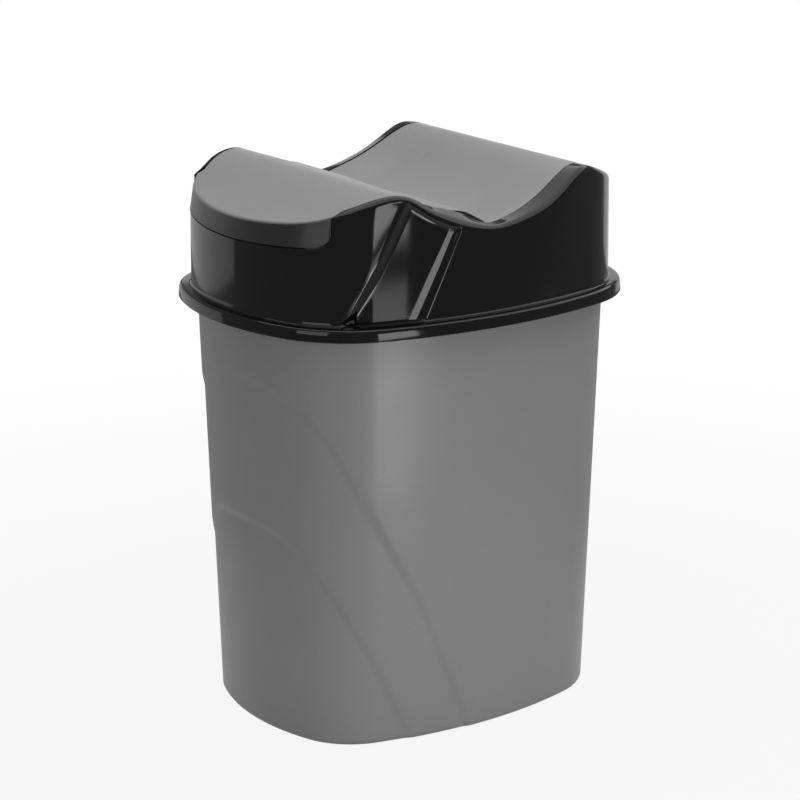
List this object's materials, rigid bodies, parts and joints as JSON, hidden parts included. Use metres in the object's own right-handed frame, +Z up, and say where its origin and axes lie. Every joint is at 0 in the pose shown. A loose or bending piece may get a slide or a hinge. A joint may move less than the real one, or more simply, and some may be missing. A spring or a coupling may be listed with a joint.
{
  "type": "trash can",
  "caption": "Tapered kitchen bin with a lift-off lid frame and a wave-shaped swing flap that tips open on two side pins.",
  "frame": {"origin": "on the floor, under the middle of the base", "axes": "+Z up, -Y towards the front with the flap's lip, +X to the side"},
  "size_m": [0.218, 0.27, 0.3474],
  "materials": {
    "bucket_grey": "satin, lightly textured grey polypropylene",
    "frame_black": "polished black polypropylene",
    "flap_grey": "satin, lightly textured grey polypropylene"
  },
  "bodies": {
    "bucket": {"bucket": "bucket_grey"},
    "lid": {"lid_frame": "frame_black"},
    "flap": {"swing_flap": "flap_grey"}
  },
  "joints": [
    {"name": "lid_lift", "type": "slide", "parent": "bucket", "child": "lid", "axis": [0, 0, 1], "range_m": [0, 0.15]},
    {"name": "flap_swing", "type": "hinge", "parent": "lid", "child": "flap", "pos_m": [0, -0.018, 0.318], "axis": [-1, 0, 0], "range_deg": [0, 90]}
  ]
}
